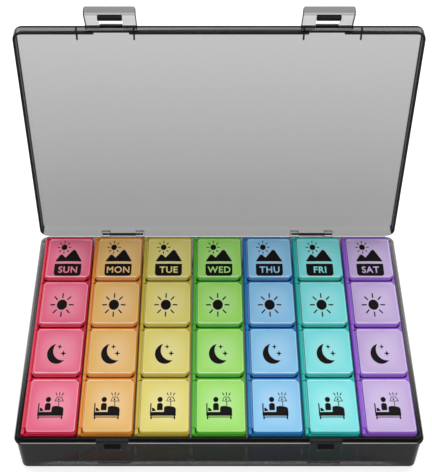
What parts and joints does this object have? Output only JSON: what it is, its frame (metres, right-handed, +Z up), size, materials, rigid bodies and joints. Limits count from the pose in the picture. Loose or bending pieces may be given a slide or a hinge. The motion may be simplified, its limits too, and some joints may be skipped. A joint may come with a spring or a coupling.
{
  "type": "weekly pill organizer",
  "caption": "See-through smoke-grey case with a hinged lid and flip latches, holding a row of coloured day boxes whose compartments have flip lids.",
  "frame": {"origin": "centre of the tray's underside, on the surface that the case stands on", "axes": "+X to the user's right along the seven days, +Y to the back where the lid is hinged, +Z up"},
  "size_m": [0.224, 0.1675, 0.2001],
  "materials": {
    "smoke_polypropylene": "moulded, see-through smoke grey",
    "smoke_pin": "moulded, dark",
    "pink_polypropylene": "moulded, translucent",
    "orange_polypropylene": "moulded, translucent",
    "yellow_polypropylene": "moulded, translucent",
    "green_polypropylene": "moulded, translucent",
    "blue_polypropylene": "moulded, translucent",
    "teal_polypropylene": "moulded, translucent",
    "purple_polypropylene": "moulded, translucent"
  },
  "bodies": {
    "tray": {"case_base": "smoke_polypropylene", "hinge_pin_left": "smoke_pin", "hinge_pin_right": "smoke_pin"},
    "case_lid": {"case_lid": "smoke_polypropylene", "latch_pin_left": "smoke_pin", "latch_pin_right": "smoke_pin"},
    "latch_left": {"latch_left": "smoke_polypropylene"},
    "latch_right": {"latch_right": "smoke_polypropylene"},
    "day_box_sunday": {"day_box_sunday": "pink_polypropylene"},
    "lid_sunday_morning": {"lid_sunday_morning": "pink_polypropylene"},
    "lid_sunday_noon": {"lid_sunday_noon": "pink_polypropylene"},
    "lid_sunday_evening": {"lid_sunday_evening": "pink_polypropylene"},
    "lid_sunday_bedtime": {"lid_sunday_bedtime": "pink_polypropylene"},
    "day_box_monday": {"day_box_monday": "orange_polypropylene"},
    "lid_monday_morning": {"lid_monday_morning": "orange_polypropylene"},
    "lid_monday_noon": {"lid_monday_noon": "orange_polypropylene"},
    "lid_monday_evening": {"lid_monday_evening": "orange_polypropylene"},
    "lid_monday_bedtime": {"lid_monday_bedtime": "orange_polypropylene"},
    "day_box_tuesday": {"day_box_tuesday": "yellow_polypropylene"},
    "lid_tuesday_morning": {"lid_tuesday_morning": "yellow_polypropylene"},
    "lid_tuesday_noon": {"lid_tuesday_noon": "yellow_polypropylene"},
    "lid_tuesday_evening": {"lid_tuesday_evening": "yellow_polypropylene"},
    "lid_tuesday_bedtime": {"lid_tuesday_bedtime": "yellow_polypropylene"},
    "day_box_wednesday": {"day_box_wednesday": "green_polypropylene"},
    "lid_wednesday_morning": {"lid_wednesday_morning": "green_polypropylene"},
    "lid_wednesday_noon": {"lid_wednesday_noon": "green_polypropylene"},
    "lid_wednesday_evening": {"lid_wednesday_evening": "green_polypropylene"},
    "lid_wednesday_bedtime": {"lid_wednesday_bedtime": "green_polypropylene"},
    "day_box_thursday": {"day_box_thursday": "blue_polypropylene"},
    "lid_thursday_morning": {"lid_thursday_morning": "blue_polypropylene"},
    "lid_thursday_noon": {"lid_thursday_noon": "blue_polypropylene"},
    "lid_thursday_evening": {"lid_thursday_evening": "blue_polypropylene"},
    "lid_thursday_bedtime": {"lid_thursday_bedtime": "blue_polypropylene"},
    "day_box_friday": {"day_box_friday": "teal_polypropylene"},
    "lid_friday_morning": {"lid_friday_morning": "teal_polypropylene"},
    "lid_friday_noon": {"lid_friday_noon": "teal_polypropylene"},
    "lid_friday_evening": {"lid_friday_evening": "teal_polypropylene"},
    "lid_friday_bedtime": {"lid_friday_bedtime": "teal_polypropylene"},
    "day_box_saturday": {"day_box_saturday": "purple_polypropylene"},
    "lid_saturday_morning": {"lid_saturday_morning": "purple_polypropylene"},
    "lid_saturday_noon": {"lid_saturday_noon": "purple_polypropylene"},
    "lid_saturday_evening": {"lid_saturday_evening": "purple_polypropylene"},
    "lid_saturday_bedtime": {"lid_saturday_bedtime": "purple_polypropylene"}
  },
  "joints": [
    {"name": "case_lid_hinge", "type": "hinge", "parent": "tray", "child": "case_lid", "pos_m": [0, 0.077, 0.0287], "axis": [-1, 0, 0], "range_deg": [-92.4, 0]},
    {"name": "latch_left_hinge", "type": "hinge", "parent": "case_lid", "child": "latch_left", "pos_m": [-0.0582, 0.08443, 0.18443], "axis": [-1, 0, 0], "range_deg": [-62.6, 73]},
    {"name": "latch_right_hinge", "type": "hinge", "parent": "case_lid", "child": "latch_right", "pos_m": [0.0582, 0.08443, 0.18443], "axis": [-1, 0, 0], "range_deg": [-62.6, 73]},
    {"name": "day_box_sunday_lift", "type": "slide", "parent": "tray", "child": "day_box_sunday", "axis": [0, 0, 1], "range_m": [0, 0.045]},
    {"name": "lid_sunday_morning_hinge", "type": "hinge", "parent": "day_box_sunday", "child": "lid_sunday_morning", "pos_m": [-0.1069, 0.05465, 0.0294], "axis": [0, -1, 0], "range_deg": [0, 105]},
    {"name": "lid_sunday_noon_hinge", "type": "hinge", "parent": "day_box_sunday", "child": "lid_sunday_noon", "pos_m": [-0.1069, 0.01855, 0.0294], "axis": [0, -1, 0], "range_deg": [0, 105]},
    {"name": "lid_sunday_evening_hinge", "type": "hinge", "parent": "day_box_sunday", "child": "lid_sunday_evening", "pos_m": [-0.1069, -0.01755, 0.0294], "axis": [0, -1, 0], "range_deg": [0, 105]},
    {"name": "lid_sunday_bedtime_hinge", "type": "hinge", "parent": "day_box_sunday", "child": "lid_sunday_bedtime", "pos_m": [-0.1069, -0.05365, 0.0294], "axis": [0, -1, 0], "range_deg": [0, 105]},
    {"name": "day_box_monday_lift", "type": "slide", "parent": "tray", "child": "day_box_monday", "axis": [0, 0, 1], "range_m": [0, 0.045]},
    {"name": "lid_monday_morning_hinge", "type": "hinge", "parent": "day_box_monday", "child": "lid_monday_morning", "pos_m": [-0.0759, 0.05465, 0.0294], "axis": [0, -1, 0], "range_deg": [0, 105]},
    {"name": "lid_monday_noon_hinge", "type": "hinge", "parent": "day_box_monday", "child": "lid_monday_noon", "pos_m": [-0.0759, 0.01855, 0.0294], "axis": [0, -1, 0], "range_deg": [0, 105]},
    {"name": "lid_monday_evening_hinge", "type": "hinge", "parent": "day_box_monday", "child": "lid_monday_evening", "pos_m": [-0.0759, -0.01755, 0.0294], "axis": [0, -1, 0], "range_deg": [0, 105]},
    {"name": "lid_monday_bedtime_hinge", "type": "hinge", "parent": "day_box_monday", "child": "lid_monday_bedtime", "pos_m": [-0.0759, -0.05365, 0.0294], "axis": [0, -1, 0], "range_deg": [0, 105]},
    {"name": "day_box_tuesday_lift", "type": "slide", "parent": "tray", "child": "day_box_tuesday", "axis": [0, 0, 1], "range_m": [0, 0.045]},
    {"name": "lid_tuesday_morning_hinge", "type": "hinge", "parent": "day_box_tuesday", "child": "lid_tuesday_morning", "pos_m": [-0.0449, 0.05465, 0.0294], "axis": [0, -1, 0], "range_deg": [0, 105]},
    {"name": "lid_tuesday_noon_hinge", "type": "hinge", "parent": "day_box_tuesday", "child": "lid_tuesday_noon", "pos_m": [-0.0449, 0.01855, 0.0294], "axis": [0, -1, 0], "range_deg": [0, 105]},
    {"name": "lid_tuesday_evening_hinge", "type": "hinge", "parent": "day_box_tuesday", "child": "lid_tuesday_evening", "pos_m": [-0.0449, -0.01755, 0.0294], "axis": [0, -1, 0], "range_deg": [0, 105]},
    {"name": "lid_tuesday_bedtime_hinge", "type": "hinge", "parent": "day_box_tuesday", "child": "lid_tuesday_bedtime", "pos_m": [-0.0449, -0.05365, 0.0294], "axis": [0, -1, 0], "range_deg": [0, 105]},
    {"name": "day_box_wednesday_lift", "type": "slide", "parent": "tray", "child": "day_box_wednesday", "axis": [0, 0, 1], "range_m": [0, 0.045]},
    {"name": "lid_wednesday_morning_hinge", "type": "hinge", "parent": "day_box_wednesday", "child": "lid_wednesday_morning", "pos_m": [-0.0139, 0.05465, 0.0294], "axis": [0, -1, 0], "range_deg": [0, 105]},
    {"name": "lid_wednesday_noon_hinge", "type": "hinge", "parent": "day_box_wednesday", "child": "lid_wednesday_noon", "pos_m": [-0.0139, 0.01855, 0.0294], "axis": [0, -1, 0], "range_deg": [0, 105]},
    {"name": "lid_wednesday_evening_hinge", "type": "hinge", "parent": "day_box_wednesday", "child": "lid_wednesday_evening", "pos_m": [-0.0139, -0.01755, 0.0294], "axis": [0, -1, 0], "range_deg": [0, 105]},
    {"name": "lid_wednesday_bedtime_hinge", "type": "hinge", "parent": "day_box_wednesday", "child": "lid_wednesday_bedtime", "pos_m": [-0.0139, -0.05365, 0.0294], "axis": [0, -1, 0], "range_deg": [0, 105]},
    {"name": "day_box_thursday_lift", "type": "slide", "parent": "tray", "child": "day_box_thursday", "axis": [0, 0, 1], "range_m": [0, 0.045]},
    {"name": "lid_thursday_morning_hinge", "type": "hinge", "parent": "day_box_thursday", "child": "lid_thursday_morning", "pos_m": [0.0171, 0.05465, 0.0294], "axis": [0, -1, 0], "range_deg": [0, 105]},
    {"name": "lid_thursday_noon_hinge", "type": "hinge", "parent": "day_box_thursday", "child": "lid_thursday_noon", "pos_m": [0.0171, 0.01855, 0.0294], "axis": [0, -1, 0], "range_deg": [0, 105]},
    {"name": "lid_thursday_evening_hinge", "type": "hinge", "parent": "day_box_thursday", "child": "lid_thursday_evening", "pos_m": [0.0171, -0.01755, 0.0294], "axis": [0, -1, 0], "range_deg": [0, 105]},
    {"name": "lid_thursday_bedtime_hinge", "type": "hinge", "parent": "day_box_thursday", "child": "lid_thursday_bedtime", "pos_m": [0.0171, -0.05365, 0.0294], "axis": [0, -1, 0], "range_deg": [0, 105]},
    {"name": "day_box_friday_lift", "type": "slide", "parent": "tray", "child": "day_box_friday", "axis": [0, 0, 1], "range_m": [0, 0.045]},
    {"name": "lid_friday_morning_hinge", "type": "hinge", "parent": "day_box_friday", "child": "lid_friday_morning", "pos_m": [0.0481, 0.05465, 0.0294], "axis": [0, -1, 0], "range_deg": [0, 105]},
    {"name": "lid_friday_noon_hinge", "type": "hinge", "parent": "day_box_friday", "child": "lid_friday_noon", "pos_m": [0.0481, 0.01855, 0.0294], "axis": [0, -1, 0], "range_deg": [0, 105]},
    {"name": "lid_friday_evening_hinge", "type": "hinge", "parent": "day_box_friday", "child": "lid_friday_evening", "pos_m": [0.0481, -0.01755, 0.0294], "axis": [0, -1, 0], "range_deg": [0, 105]},
    {"name": "lid_friday_bedtime_hinge", "type": "hinge", "parent": "day_box_friday", "child": "lid_friday_bedtime", "pos_m": [0.0481, -0.05365, 0.0294], "axis": [0, -1, 0], "range_deg": [0, 105]},
    {"name": "day_box_saturday_lift", "type": "slide", "parent": "tray", "child": "day_box_saturday", "axis": [0, 0, 1], "range_m": [0, 0.045]},
    {"name": "lid_saturday_morning_hinge", "type": "hinge", "parent": "day_box_saturday", "child": "lid_saturday_morning", "pos_m": [0.0791, 0.05465, 0.0294], "axis": [0, -1, 0], "range_deg": [0, 105]},
    {"name": "lid_saturday_noon_hinge", "type": "hinge", "parent": "day_box_saturday", "child": "lid_saturday_noon", "pos_m": [0.0791, 0.01855, 0.0294], "axis": [0, -1, 0], "range_deg": [0, 105]},
    {"name": "lid_saturday_evening_hinge", "type": "hinge", "parent": "day_box_saturday", "child": "lid_saturday_evening", "pos_m": [0.0791, -0.01755, 0.0294], "axis": [0, -1, 0], "range_deg": [0, 105]},
    {"name": "lid_saturday_bedtime_hinge", "type": "hinge", "parent": "day_box_saturday", "child": "lid_saturday_bedtime", "pos_m": [0.0791, -0.05365, 0.0294], "axis": [0, -1, 0], "range_deg": [0, 105]}
  ]
}
